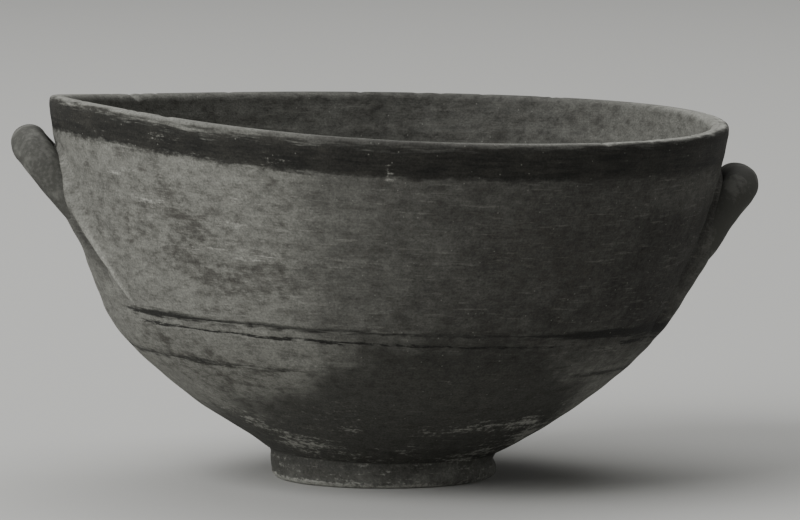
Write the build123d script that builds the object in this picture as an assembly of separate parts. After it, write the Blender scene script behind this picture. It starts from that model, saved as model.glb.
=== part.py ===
from build123d import *
import os
from math import asin, cos, hypot, radians, sin, sqrt

# A two-handled drinking bowl of fired clay: a thrown bowl, a ring foot bedded
# under it, and two rolled handles luted to the wall with wads of soft clay.
# Millimetres and degrees. +Z is up, the handles lie along X, and the origin is
# the middle of the circle that the foot stands on.

# Thrown bowl, measured along its own axis from the underside of its floor
RIM_RADIUS = 82.4
BOWL_HEIGHT = 85.8
LIP_THICKNESS = 4.6
WALL_THICKNESS = 4.4
FLOOR_THICKNESS = 6.0
SHOULDER_RADIUS = 66.0
SHOULDER_HEIGHT = 33.0
SHOULDER_ROUND = 24.0
UPPER_BULGE = 2.2
LOWER_BULGE = 2.7
BASE_RADIUS = 21.0

# The bowl leans on its foot, with the left handle's side higher
LEAN = 2.65
BOWL_SHIFT = -2.1
RECESS_DEPTH = 3.0

# Ring foot, and the bed of clay that levels the leaning bowl on it
FOOT_RADIUS = 27.3
FOOT_NECK_RADIUS = 26.7
FOOT_INNER_RADIUS = 20.5
FOOT_OUTER_ROUND = 1.5
FOOT_INNER_ROUND = 1.0
BED_THICKNESS = 0.6

# Rolled handles: a coil bent to a loop that leans out from two roots in the wall
COIL_DIAMETER = 8.8
LOOP_HALF_WIDTH = 12.0
LOOP_ROUND = 10.5
ROOT_HALF_SPAN = 20.5
ROOT_BEND = 6.0
ROOT_SINK = 4.8
ROOT_DEPTH = 12.0
LEFT_TOP_DROP = 11.3
LEFT_STANDOFF = 2.1
LEFT_ROOT_HEIGHT = 50.5
RIGHT_TOP_DROP = 13.8
RIGHT_STANDOFF = 0.8
RIGHT_ROOT_HEIGHT = 38.3

# Wads of luting clay, domed over the handle roots
WAD_ROUND = 20.0
WAD_RISE = 2.2
LEFT_WAD_OFFSET = -7.0
RIGHT_WAD_OFFSET = 3.5

COIL_RADIUS = COIL_DIAMETER / 2

# Corners of the wall as (radius, height) in the bowl's own frame
LIP_HEIGHT = BOWL_HEIGHT - LIP_THICKNESS / 2
OUTER_BASE = (BASE_RADIUS, 0)
OUTER_SHOULDER = (SHOULDER_RADIUS, SHOULDER_HEIGHT)
OUTER_LIP = (RIM_RADIUS, LIP_HEIGHT)
LIP_TOP = (RIM_RADIUS - LIP_THICKNESS / 2, BOWL_HEIGHT)
INNER_LIP = (RIM_RADIUS - LIP_THICKNESS, LIP_HEIGHT)
LOWER_RUN = SHOULDER_RADIUS - BASE_RADIUS
LOWER_CHORD = hypot(LOWER_RUN, SHOULDER_HEIGHT)
INWARD = (-SHOULDER_HEIGHT / LOWER_CHORD, LOWER_RUN / LOWER_CHORD)
INNER_SHOULDER = (
    SHOULDER_RADIUS + WALL_THICKNESS * INWARD[0],
    SHOULDER_HEIGHT + WALL_THICKNESS * INWARD[1],
)
FLOOR_RISE = FLOOR_THICKNESS - WALL_THICKNESS * INWARD[1]
INNER_FLOOR = (
    BASE_RADIUS + WALL_THICKNESS * INWARD[0] + FLOOR_RISE * LOWER_RUN / SHOULDER_HEIGHT,
    FLOOR_THICKNESS,
)


def swelling_arc(start, end, bulge):
    """The wall's curve from a lower point to a higher one, swelling outwards."""
    run, rise = end[0] - start[0], end[1] - start[1]
    chord = hypot(run, rise)
    middle = ((start[0] + end[0]) / 2, (start[1] + end[1]) / 2)
    crown = (middle[0] + bulge * rise / chord, middle[1] - bulge * run / chord)
    return ThreePointArc(start, crown, end)


def arc_circle(start, end, bulge):
    """Centre radius, centre height and arc radius of a swelling arc."""
    run, rise = end[0] - start[0], end[1] - start[1]
    chord = hypot(run, rise)
    radius = (chord**2 / 4 + bulge**2) / (2 * bulge)
    back = (radius - bulge) / chord
    centre_r = (start[0] + end[0]) / 2 - back * rise
    centre_h = (start[1] + end[1]) / 2 + back * run
    return centre_r, centre_h, radius


def wall_radius(height):
    """Outer radius of the bowl's upper wall at a height."""
    centre_r, centre_h, radius = arc_circle(OUTER_SHOULDER, OUTER_LIP, UPPER_BULGE)
    return centre_r + sqrt(radius**2 - (height - centre_h) ** 2)


def wall_normal(height):
    """Outward direction of the upper wall at a height, as (radial, up)."""
    centre_r, centre_h, radius = arc_circle(OUTER_SHOULDER, OUTER_LIP, UPPER_BULGE)
    return (wall_radius(height) - centre_r) / radius, (height - centre_h) / radius


def underside_height(radius):
    """Height of the bowl's underside at a radius, above the middle of its floor."""
    if radius <= BASE_RADIUS:
        return 0.0
    centre_r, centre_h, arc_radius = arc_circle(OUTER_BASE, OUTER_SHOULDER, LOWER_BULGE)
    return centre_h - sqrt(arc_radius**2 - (radius - centre_r) ** 2)


def corner_at(face, corner):
    """The vertex of a flat outline that lies at a (radius, height) corner."""
    return face.vertices().sort_by_distance((corner[0], corner[1], 0))[0]


def turned(outline, arc=360):
    """The solid turned about Z from an outline of (radius, height), centred on +X."""
    return Rot(0, 0, -arc / 2) * revolve(Plane.XZ * outline, axis=Axis.Z, revolution_arc=arc)


def outer_edges():
    """Underside, lower body and upper wall, from the axis up to the lip."""
    return [
        Line((0, 0), OUTER_BASE),
        swelling_arc(OUTER_BASE, OUTER_SHOULDER, LOWER_BULGE),
        swelling_arc(OUTER_SHOULDER, OUTER_LIP, UPPER_BULGE),
    ]


def bowl():
    """The thrown bowl: one wall from a thick floor to a rounded lip."""
    outline = make_face(
        outer_edges()
        + [
            ThreePointArc(OUTER_LIP, LIP_TOP, INNER_LIP),
            swelling_arc(INNER_SHOULDER, INNER_LIP, UPPER_BULGE),
            swelling_arc(INNER_FLOOR, INNER_SHOULDER, LOWER_BULGE),
            Line(INNER_FLOOR, (0, FLOOR_THICKNESS)),
            Line((0, FLOOR_THICKNESS), (0, 0)),
        ]
    )
    outline = fillet(corner_at(outline, OUTER_SHOULDER), SHOULDER_ROUND)
    outline = fillet(corner_at(outline, INNER_SHOULDER), SHOULDER_ROUND - WALL_THICKNESS)
    return turned(outline)


def bowl_block(arc=360):
    """The bowl's outside with its hollow filled, to cut what is pressed against it.

    A smaller arc gives only the side that a handle is pressed against.
    """
    outline = make_face(
        outer_edges()
        + [
            Line(OUTER_LIP, (0, LIP_HEIGHT)),
            Line((0, LIP_HEIGHT), (0, 0)),
        ]
    )
    return turned(fillet(corner_at(outline, OUTER_SHOULDER), SHOULDER_ROUND), arc)


def root_point(height, side, depth=0.0):
    """A point of a handle root, on the wall or some depth inside it."""
    out, up = wall_normal(height)
    radius = wall_radius(height)
    turn = side * asin(ROOT_HALF_SPAN / radius)
    sunk = radius - depth * out
    return sunk * cos(turn), sunk * sin(turn), height - depth * up


def handle_coil(top_drop, standoff, root_height):
    """The whole rolled coil of a handle on the +X side, its ends sunk in the wall."""
    top_height = BOWL_HEIGHT - top_drop
    reach = wall_radius(top_height) + standoff + COIL_RADIUS
    path = FilletPolyline(
        root_point(root_height, -1, ROOT_DEPTH),
        root_point(root_height, -1, ROOT_SINK),
        (reach, -LOOP_HALF_WIDTH, top_height),
        (reach, LOOP_HALF_WIDTH, top_height),
        root_point(root_height, 1, ROOT_SINK),
        root_point(root_height, 1, ROOT_DEPTH),
        radius=[ROOT_BEND, LOOP_ROUND, LOOP_ROUND, ROOT_BEND],
    )
    start = Plane(origin=path @ 0, z_dir=path % 0)
    return sweep(start * Circle(COIL_RADIUS), path=path)


def luting_wad(height, side):
    """A domed wad of clay on the wall, at the height of a handle root's end."""
    return Pos(*root_point(height, side, WAD_ROUND - WAD_RISE)) * Sphere(WAD_ROUND)


def foot_seat(radius):
    """Height of the foot's top at a radius, one bed thickness under the bowl's low side."""
    bowl_radius = radius - BOWL_SHIFT
    drop = bowl_radius * sin(radians(LEAN))
    return RECESS_DEPTH + underside_height(bowl_radius) - drop - BED_THICKNESS


def ring_foot():
    """The ring that the cup stands on, with rounded edges and a drawn-in neck."""
    outline = make_face(
        Polyline(
            (FOOT_INNER_RADIUS, 0),
            (FOOT_RADIUS, 0),
            (FOOT_NECK_RADIUS, foot_seat(FOOT_NECK_RADIUS)),
            (FOOT_INNER_RADIUS, foot_seat(FOOT_INNER_RADIUS)),
            close=True,
        )
    )
    outline = fillet(corner_at(outline, (FOOT_RADIUS, 0)), FOOT_OUTER_ROUND)
    outline = fillet(corner_at(outline, (FOOT_INNER_RADIUS, 0)), FOOT_INNER_ROUND)
    return turned(outline)


def foot_bed(block):
    """The wedge-shaped ring of clay between the level foot and the leaning bowl."""
    outline = make_face(
        Polyline(
            (FOOT_INNER_RADIUS, foot_seat(FOOT_INNER_RADIUS)),
            (FOOT_NECK_RADIUS, foot_seat(FOOT_NECK_RADIUS)),
            (FOOT_NECK_RADIUS, RECESS_DEPTH + SHOULDER_HEIGHT),
            (FOOT_INNER_RADIUS, RECESS_DEPTH + SHOULDER_HEIGHT),
            close=True,
        )
    )
    return turned(outline) - block


def main():
    """Builds each piece in its place and writes it as parts/NAME.step."""
    leaning = Pos(BOWL_SHIFT, 0, RECESS_DEPTH) * Rot(0, LEAN, 0)
    side_block = bowl_block(120)
    pieces = {
        "bowl": leaning * bowl(),
        "ring_foot": ring_foot(),
        "foot_luting": foot_bed(leaning * bowl_block()),
    }
    handles = {
        "left": (180, LEFT_TOP_DROP, LEFT_STANDOFF, LEFT_ROOT_HEIGHT, LEFT_WAD_OFFSET),
        "right": (0, RIGHT_TOP_DROP, RIGHT_STANDOFF, RIGHT_ROOT_HEIGHT, RIGHT_WAD_OFFSET),
    }
    for name, (facing, top_drop, standoff, root_height, wad_offset) in handles.items():
        place = leaning * Rot(0, 0, facing)
        coil = handle_coil(top_drop, standoff, root_height)
        pieces[f"{name}_handle"] = place * (coil - side_block)
        front = 1 if facing else -1
        for where, side in (("front", front), ("back", -front)):
            wad = luting_wad(root_height + wad_offset, side) - side_block - coil
            pieces[f"{name}_handle_{where}_luting"] = place * wad
    os.makedirs("parts", exist_ok=True)
    for name, piece in pieces.items():
        export_step(piece, f"parts/{name}.step")
        size = piece.bounding_box().size
        print(f"{name}: {len(piece.solids())} solid, {piece.volume:.0f} mm3, "
              f"{size.X:.1f} x {size.Y:.1f} x {size.Z:.1f} mm")


main()
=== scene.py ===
# %% [markdown]
# # An old clay cup with loop handles
# This lesson dresses the solid model of a two-handled drinking cup. The solids arrive as
# a fixed frame: one object for each piece, in metres, +Z up, with the foot standing on
# the floor at the origin. Whatever is built below uses the same frame and the same
# sizes, so nothing has to be fitted by eye.

# %% Load the solids
import math

import bmesh
import bpy
import numpy as np
from mathutils import Matrix, Vector, noise


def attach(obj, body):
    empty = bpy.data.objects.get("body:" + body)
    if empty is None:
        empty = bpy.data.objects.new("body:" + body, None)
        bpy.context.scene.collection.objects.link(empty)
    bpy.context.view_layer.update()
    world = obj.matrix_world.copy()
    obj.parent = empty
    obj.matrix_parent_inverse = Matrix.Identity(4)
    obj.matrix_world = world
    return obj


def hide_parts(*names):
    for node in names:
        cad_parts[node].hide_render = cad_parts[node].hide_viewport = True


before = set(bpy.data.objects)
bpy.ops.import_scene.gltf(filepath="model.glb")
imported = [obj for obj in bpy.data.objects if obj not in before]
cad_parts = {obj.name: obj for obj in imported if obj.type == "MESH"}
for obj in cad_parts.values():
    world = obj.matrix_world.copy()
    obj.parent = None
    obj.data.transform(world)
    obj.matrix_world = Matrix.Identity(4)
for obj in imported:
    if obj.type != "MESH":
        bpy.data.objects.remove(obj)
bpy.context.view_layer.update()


def in_mm(lengths):
    """Lengths in metres as rounded millimetres, to print."""
    return [round(1000 * length, 1) for length in lengths]


print("solids:", sorted(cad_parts))

# %% [markdown]
# ## The camera
# The cup was seen from far away, a little above its rim and slightly from its left, so a
# long lens is right: with a short one the near lip would swell. The lens follows from
# how many metres the frame is wide where the cup stands.

# %% Set the camera
VIEW_TURN = math.radians(4.0)
VIEW_RISE = math.radians(5.4)
VIEW_DISTANCE = 1.55
VIEW_TARGET = Vector((0.0039, 0, 0.0526))
FRAME_WIDTH = 0.1945

sight = Vector((
    math.sin(VIEW_TURN) * math.cos(VIEW_RISE),
    math.cos(VIEW_TURN) * math.cos(VIEW_RISE),
    -math.sin(VIEW_RISE),
))
camera = bpy.data.objects.new("camera", bpy.data.cameras.new("camera"))
camera.location = VIEW_TARGET - VIEW_DISTANCE * sight
camera.rotation_euler = sight.to_track_quat("-Z", "Y").to_euler()
camera.data.sensor_width = 36
camera.data.lens = camera.data.sensor_width * VIEW_DISTANCE / FRAME_WIDTH
bpy.context.collection.objects.link(camera)
bpy.context.scene.camera = camera
print("lens in mm:", round(camera.data.lens))

# %% [markdown]
# ## The potter's sizes
# All lengths are in millimetres, in the bowl's own frame: its axis is Z and the middle of
# its underside is the origin. The finished bowl leans on its foot, so one matrix turns
# this frame into the scene's, and scales millimetres to metres on the way.

# %% Name the sizes
RIM_RADIUS, BOWL_HEIGHT = 82.4, 85.8
LIP_THICKNESS, WALL_THICKNESS, FLOOR_THICKNESS = 4.6, 4.4, 6.0
SHOULDER_RADIUS, SHOULDER_HEIGHT = 66.0, 33.0
UPPER_BULGE, LOWER_BULGE = 2.2, 2.7
BASE_RADIUS, FLOOR_FLARE = 21.0, 0.73
LEAN, BOWL_SHIFT, RECESS_DEPTH = math.radians(2.65), -2.1, 3.0
# The wall's thickness is measured square to its slope: at the shoulder, inwards and up
SHOULDER_INWARDS, SHOULDER_UPWARDS = 0.59, 0.81

LIP_HEIGHT = BOWL_HEIGHT - LIP_THICKNESS / 2
OUTER_BASE = (BASE_RADIUS, 0)
OUTER_SHOULDER = (SHOULDER_RADIUS, SHOULDER_HEIGHT)
OUTER_LIP = (RIM_RADIUS, LIP_HEIGHT)
INNER_LIP = (RIM_RADIUS - LIP_THICKNESS, LIP_HEIGHT)
INNER_SHOULDER = (
    SHOULDER_RADIUS - SHOULDER_INWARDS * WALL_THICKNESS,
    SHOULDER_HEIGHT + SHOULDER_UPWARDS * WALL_THICKNESS,
)
INNER_FLOOR = (BASE_RADIUS + FLOOR_FLARE, FLOOR_THICKNESS)

to_metres = Matrix.Scale(0.001, 4)
on_foot = Matrix.Translation((BOWL_SHIFT, 0, RECESS_DEPTH))
leaning = to_metres @ on_foot @ Matrix.Rotation(LEAN, 4, "Y")
print("middle of the mouth in mm:", in_mm(leaning @ Vector((0, 0, BOWL_HEIGHT))))

# %% [markdown]
# ## The bowl's outline
# A thrown bowl is a turned shape: one outline, spun once round its axis. Each curve of
# that outline is an arc, and the spin operator draws arcs as well: spinning a single
# vertex leaves a chain of edges behind. A few smoothing passes take the corner out of
# the shoulder, as the potter's rib does, and the lip is pressed to a crisper edge.

# %% Draw the outline
BASE_STEPS, FLOOR_STEPS = 8, 6
RIB_REACH, RIB_PASSES = 9, 40
# Powers of the lip's rounded top: 2 is a half circle, and a higher one is squarer
LIP_POWER_OUTSIDE, LIP_POWER_INSIDE = 5.0, 2.6


def straight(bm, start, end, steps):
    """Extrudes a vertex to a (radius, height) end in equal steps."""
    stride = (Vector((end[0], 0, end[1])) - start.co) / steps
    for _ in range(steps):
        start = bmesh.ops.extrude_vert_indiv(bm, verts=[start])["verts"][0]
        start.co += stride
    return start


def swell(bm, start, end, bulge, steps):
    """Spins a vertex to a (radius, height) end, on an arc that swells by bulge."""
    chord = Vector((end[0], 0, end[1])) - start.co
    side = Vector((chord.z, 0, -chord.x)) / chord.length
    radius = (chord.length**2 / 4 + bulge**2) / (2 * bulge)
    centre = start.co + chord / 2 - (radius - bulge) * side
    turn = 2 * math.asin(max(-1, min(1, chord.length / (2 * radius))))
    arc = bmesh.ops.spin(bm, geom=[start], cent=centre, axis=(0, -1, 0), angle=turn, steps=steps)
    return next(part for part in arc["geom_last"] if isinstance(part, bmesh.types.BMVert))


def smooth_corner(bm, corner):
    """Rounds the outline near a (radius, height) corner."""
    middle = Vector((corner[0], 0, corner[1]))
    near = [v for v in bm.verts if (v.co - middle).length < RIB_REACH]
    for _ in range(RIB_PASSES):
        bmesh.ops.smooth_vert(bm, verts=near, factor=0.5, use_axis_x=True, use_axis_z=True)


def press_lip(bm):
    """Presses the round lip to a flatter top, with a crisp outer edge."""
    half = LIP_THICKNESS / 2
    middle = RIM_RADIUS - half
    for v in bm.verts:
        across, up = (v.co.x - middle) / half, (v.co.z - LIP_HEIGHT) / half
        if up > 0.01:
            power = LIP_POWER_OUTSIDE if across > 0 else LIP_POWER_INSIDE
            stretch = (abs(across) ** power + up**power) ** (-1 / power)
            v.co.x = middle + stretch * across * half
            v.co.z = LIP_HEIGHT + stretch * up * half


bowl = bmesh.new()
end = straight(bowl, bowl.verts.new((0, 0, 0)), OUTER_BASE, BASE_STEPS)
for corner, bulge, steps in (
    (OUTER_SHOULDER, LOWER_BULGE, 46), (OUTER_LIP, UPPER_BULGE, 48),
    (INNER_LIP, LIP_THICKNESS / 2, 20),
    (INNER_SHOULDER, -UPPER_BULGE, 36), (INNER_FLOOR, -LOWER_BULGE, 34),
):
    end = swell(bowl, end, corner, bulge, steps)
straight(bowl, end, (0, FLOOR_THICKNESS), FLOOR_STEPS)
for corner in (OUTER_SHOULDER, INNER_SHOULDER):
    smooth_corner(bowl, corner)
press_lip(bowl)
top = max(v.co.z for v in bowl.verts)
print("outline points:", len(bowl.verts), "top in mm:", round(top, 2))

# %% [markdown]
# Each point of the outline also keeps its distance from the top of the lip, measured
# along the clay: below zero outside, above zero inside. The painter needs it later, for
# the band under the lip. Vertex layers are copied by the spin, so it is stored now.

# %% Measure from the lip and spin the wall
BOWL_STEPS = 420
MERGE_DISTANCE = 0.001

lip_layer = bowl.verts.layers.float.new("from_lip")
chain = list(bowl.verts)
travel = np.cumsum([0] + [(b.co - a.co).length for a, b in zip(chain, chain[1:])])
crest = max(range(len(chain)), key=lambda i: chain[i].co.z)
for vert, length in zip(chain, travel):
    vert[lip_layer] = length - travel[crest]
outer_wall = np.array([(v.co.z, v.co.x) for v in chain[BASE_STEPS:crest]])

bmesh.ops.spin(
    bowl, geom=bowl.verts[:] + bowl.edges[:], cent=(0, 0, 0), axis=(0, 0, 1),
    angle=2 * math.pi, steps=BOWL_STEPS, use_merge=True,
)
bmesh.ops.remove_doubles(bowl, verts=bowl.verts, dist=MERGE_DISTANCE)
bmesh.ops.recalc_face_normals(bowl, faces=bowl.faces)
print("bowl faces:", len(bowl.faces))

# %% [markdown]
# ## What hand and kiln did
# No old cup is a perfect solid of revolution. The rim sags in slow waves, because the
# clay dried unevenly. Fingers left a faint spiral of ridges, stronger inside than
# outside. The sides are swollen and flattened a little low down, and the lip has a chip
# and some nicks. These are smooth moves of the vertices, so that light and outline both
# show them.

# %% Describe the accidents
# Waves round the rim, how far they rise in mm, and where they crest in degrees
RIM_SAG = ((1, 0.5, 0), (2, 1.4, 25), (3, 0.33, -44), (4, 0.2, 19))
SAG_STARTS = 42
# The spiral's spacing and its height inside and outside, in mm
FINGER_SPACING, FINGERS_INSIDE, FINGERS_OUTSIDE = 5.2, 0.2, 0.07
# Swollen and flattened places: height, half-height and how far out, in mm
LEFT_SWELLS = ((32, 6.5, 1.2), (23, 4, 0.35), (7, 5, -1.75))
RIGHT_SWELLS = ((33.5, 5, 0.75),)
# The mouth leans further to the left: how far, and between which heights
MOUTH_SHIFT, SHIFT_STARTS, SHIFT_ENDS = 0.55, 55, 82
# Chip and nicks of the lip: angle in degrees, half-width and depth in mm
CHIP = (140, 1.2, 1.0)
CHIP_REACH = 2.5
nicks = np.random.default_rng(7)
NICKS = [
    (nicks.uniform(0, 360), nicks.uniform(0.5, 1.1), nicks.uniform(0.12, 0.3)) for _ in range(26)
]


def rise(x, low, high):
    """Goes smoothly from 0 at low to 1 at high."""
    t = np.clip((x - low) / (high - low), 0, 1)
    return t * t * (3 - 2 * t)


def hump(x, middle, width):
    """A smooth hump of height 1."""
    return np.exp(-(((x - middle) / width) ** 2))


def hand_made(points, from_lip):
    """Moves points of the turned wall, in mm, to where hand and kiln left them."""
    x, y, z = points.T.copy()
    angle, radius = np.arctan2(y, x), np.hypot(x, y)
    wobble = 0.7 * np.sin(2 * angle + z / 9)
    fingers = np.sin(2 * math.pi * z / FINGER_SPACING + angle + wobble)
    out = np.where(from_lip > 0, FINGERS_INSIDE, FINGERS_OUTSIDE) * fingers
    out = out * rise(np.abs(from_lip), 3, 12)
    left, right = rise(-np.cos(angle), 0.1, 1), rise(np.cos(angle), 0.6, 1)
    for side, swells in ((left, LEFT_SWELLS), (right, RIGHT_SWELLS)):
        out += side * sum(size * hump(z, height, half) for height, half, size in swells)
    out -= MOUTH_SHIFT * np.cos(angle) * rise(z, SHIFT_STARTS, SHIFT_ENDS)
    up = sum(size * np.cos(waves * (angle - math.radians(at))) for waves, size, at in RIM_SAG)
    up = up * rise(z, SAG_STARTS, BOWL_HEIGHT)
    for at, width, depth in [CHIP] + NICKS:
        along = np.radians((np.degrees(angle) - at + 180) % 360 - 180) * RIM_RADIUS
        up -= depth * hump(along, 0, width) * rise(z, BOWL_HEIGHT - CHIP_REACH, BOWL_HEIGHT)
    scale = np.where(radius > 1, (radius + out) / np.maximum(radius, 1), 1)
    return np.stack([x * scale, y * scale, z + up], axis=1)


for height in (10, 30, 60, 85):
    test = np.array([[0.0, -70.0, height], [-70.0, 0.0, height]])
    moved = hand_made(test, np.full(2, -20.0)) - test
    print("front and left at height", height, "moved by", np.round(moved, 2).tolist())

# %% [markdown]
# ## Notes for the painter
# Paint on this cup follows the wheel, not the sagged shape, so each vertex keeps notes
# about where it lies on the unwarped wall: its place in millimetres, its distance from
# the painted edges, how wide the brush lines are at that angle, how far paint is rubbed
# and clay stained, and its tone. Angles here are 0 at the front and 90 at the right.

# %% List what the brush left
# Half-widths of the three brush lines in mm, by angle; below zero a line fades or stops
LINE_ANGLES = (
    -180, -135, -112, -69, -65, -52, -40, -25, 0, 16, 32, 45, 60, 84, 92, 112, 120, 150,
)
THICK_LINE = (
    0.2, 0.4, -0.9, -0.9, 0.5, 0.75, 0.45, 0.2, 0.12,
    0.1, 0.25, 0.9, 1.4, 1.5, -0.9, -0.9, 0.4, 0.2,
)
THIN_LINE = (
    0.1, 0.2, -0.6, -0.6, 0.1, 0.3, 0.15, 0.2, 0.1,
    0.12, 0.05, -0.1, 0.2, 0.1, -0.6, -0.6, 0.2, 0.0,
)
LOW_LINE = (
    0.1, 0.2, 0.2, 0.3, 0.35, 0.4, 0.15, 0.1, -0.4,
    -0.7, -0.4, 0.0, 0.3, 0.4, 0.2, 0.0, 0.2, 0.1,
)
# Top of the dark zone above the foot: height in mm by angle. It thins out at the base
ZONE_ANGLES = (-180, -110, -57, -35, -22, -10, 5, 25, 45, 60, 75, 130)
ZONE_TOP = (20, 15, 15, 19, 24, 33, 38, 38, 29, 18, 12, 18)
ZONE_AT_BASE, ZONE_GROWTH = 1.0, 2.2
# Width of the band under the lip in mm, and how much wider it is in front
BAND_WIDTH, BAND_WIDER = 9.8, 0.9
# Round the lip, by angle: how far below its crest the band starts, how pale the crest is,
# where the wash inside starts and how strong it is. The wash is thinner on the back left,
# which lies in shade, and on the right, where the light falls: painted light on both
LIP_ANGLES = (-180, -150, -125, -98, -72, -55, -40, -25, 0, 25, 55, 95, 120, 145)
BAND_TOP = (1.4, 1.8, 2.0, 2.0, 2.3, 2.9, 3.6, 3.4, 3.2, 2.5, 1.9, 1.8, 1.8, 1.6)
CREST_PALE = (0.1, 0.1, 0.2, 0.4, 0.45, 0.4, 0.2, 0.05, 0.05, 0.55, 1.0, 1.0, 0.45, 0.2)
WASH_START = (-2.0, -2.0, -1.0, 1.5, 2.0, 2.0, 2.0, 2.0, 2.0, 2.0, 2.0, 2.5, 1.0, -1.0)
WASH_AND_PAINTED_LIGHT = (0.75, 0.45, 0.3, 0.35, 0.5, 0.55, 0.6, 0.6, 0.6, 0.6, 0.5, 0.3, 0.42, 0.66)
WASH_ON_FLOOR = 0.5
print("brush lines: 3, band in mm:", BAND_WIDTH, "to", BAND_WIDTH + BAND_WIDER)

# %% [markdown]
# The kiln smoked the clay on one side, and painted shade darkens that side further, for it
# faces away from the window light. Hands and soil did the rest. Rubbed places have lost
# paint and dirt, and stained ones have gained dirt. Each is a soft spot on the wall, and its
# sizes are read as lengths on the clay.

# %% List what hand and kiln left
# Smoke on the bare clay with painted shade on the side away from the window, by angle, and
# how much of both is kept near the foot, where the rest gives way to painted bounce light
SMOKE_AND_SHADE_ANGLES = (-180, -130, -88, -65, -45, -30, -22, -14, 5, 28, 55, 90, 125, 160)
SMOKE_AND_SHADE = (0.4, 0.28, 0.27, 0.21, 0.12, 0.08, 0.2, 0.55, 0.76, 0.86, 0.95, 0.92, 0.7, 0.45)
SMOKE_AND_SHADE_AT_FOOT = 0.2
# Single marks of it: distance from the lip and half-width in mm, angle and half-width in
# degrees, strength
SMOKE_MARKS = ((-15, 5, 66, 26, -0.2), (-2.5, 1.8, -25, 28, 0.35))
# Soft spots on the wall: angle, height, half-length and half-height in mm, strength
RUBBED_NEAR_FOOT = (
    (-49, 12.5, 5, 2.2, 0.6), (-28, 7.5, 9, 2.0, 0.4), (-12, 12.8, 4, 1.2, 0.7),
    (13, 13, 6, 1.8, 0.65), (28, 14.6, 7, 2.0, 0.65), (45, 15, 6, 1.4, 0.6),
    (9, 8.2, 4, 1.4, 0.6), (62, 10, 7, 3.0, 0.5), (-58, 18, 5, 6, 0.5),
    (-40, 9, 9, 5, 0.45), (-20, 18, 10, 7, 0.3), (70, 22, 10, 7, 0.5),
    (55, 12, 14, 8, 0.5), (-25, 4.5, 14, 2.5, 0.3), (15, 4.5, 14, 2.5, 0.35),
    (45, 5, 10, 2.5, 0.4), (110, 12, 9, 2.0, 0.9), (150, 8, 10, 1.8, 0.9),
    (-160, 13, 9, 1.6, 0.9), (-115, 9, 8, 2.2, 0.9),
)
RUBBED_ON_BAND = (
    (-84, 80.5, 8, 1.6, 0.25), (-62, 79.5, 6, 1.3, 0.3), (-45, 80.5, 6, 1.6, 0.4),
    (-37, 79, 4, 1.8, 0.3), (-22, 79.5, 6, 1.8, 0.45), (-4, 77.5, 1.2, 2.2, 0.7),
    (-150, 79, 9, 1.8, 0.5), (150, 80, 12, 1.5, 0.4),
)
RUBBED_ON_WALL = (
    (-48, 65.8, 10, 1.6, 0.6), (-32, 63, 9, 1.6, 0.55), (-57, 71, 8, 2.0, 0.5),
    (-38, 57, 10, 2.0, 0.5), (-30, 69, 9, 2.0, 0.4), (-26, 55, 8, 1.6, 0.45),
    (-55, 48, 8, 1.5, 0.4), (2, 51, 8, 1.5, 0.35), (-22, 30, 6, 2.0, 0.6),
    (140, 64, 12, 1.6, 0.5), (-140, 57, 12, 1.6, 0.5), (170, 68, 12, 1.6, 0.45),
)
RUBBED = RUBBED_NEAR_FOOT + RUBBED_ON_BAND + RUBBED_ON_WALL
STAINED = (
    (-45, 67, 6, 4, 0.9), (-40, 61, 5, 6, 1.0), (-35, 67, 3, 2, 0.8), (-44, 53, 6, 4, 0.8),
    (-35, 49, 9, 5, 1.0), (-24, 50, 7, 5, 0.8), (-55, 60, 5, 6, 0.4), (-66, 58, 4, 7, 0.5),
    (20, 63, 9, 6, 0.8), (32, 55, 9, 7, 0.7), (120, 60, 14, 8, 0.8), (165, 52, 16, 7, 0.9),
    (-150, 64, 14, 7, 0.8), (-120, 50, 10, 6, 0.7), (-55.5, 31.5, 1.6, 1.4, 1.8),
    (-50, 60, 16, 12, 0.4), (-25, 58, 14, 12, 0.3), (-50, 28, 12, 6, 0.8),
    (-60, 34, 8, 5, 0.5), (-35, 25, 10, 5, 0.7),
)
print("rubbed places:", len(RUBBED), "stained:", len(STAINED))

# %% [markdown]
# The notes are vertex attributes, with three numbers in each. A material reads them back
# with Attribute nodes, blended between the vertices, so soft edges stay soft. Only the
# outside has lines, stains and the dark zone: inside there is the wash alone.

# %% Write the notes
# What stands for a distance or a width where a piece has no band, no zone or no line
FAR_BELOW_LIP, NO_ZONE, NO_LINE = -90.0, -40, -4


def spots(angle, height, radius, places):
    """Adds up soft spots that lie on the wall."""
    total = np.zeros_like(height)
    for at, level, long, tall, strength in places:
        along = np.radians((angle - at + 180) % 360 - 180) * radius
        total += strength * hump(along, 0, long) * hump(height, level, tall)
    return total


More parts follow.
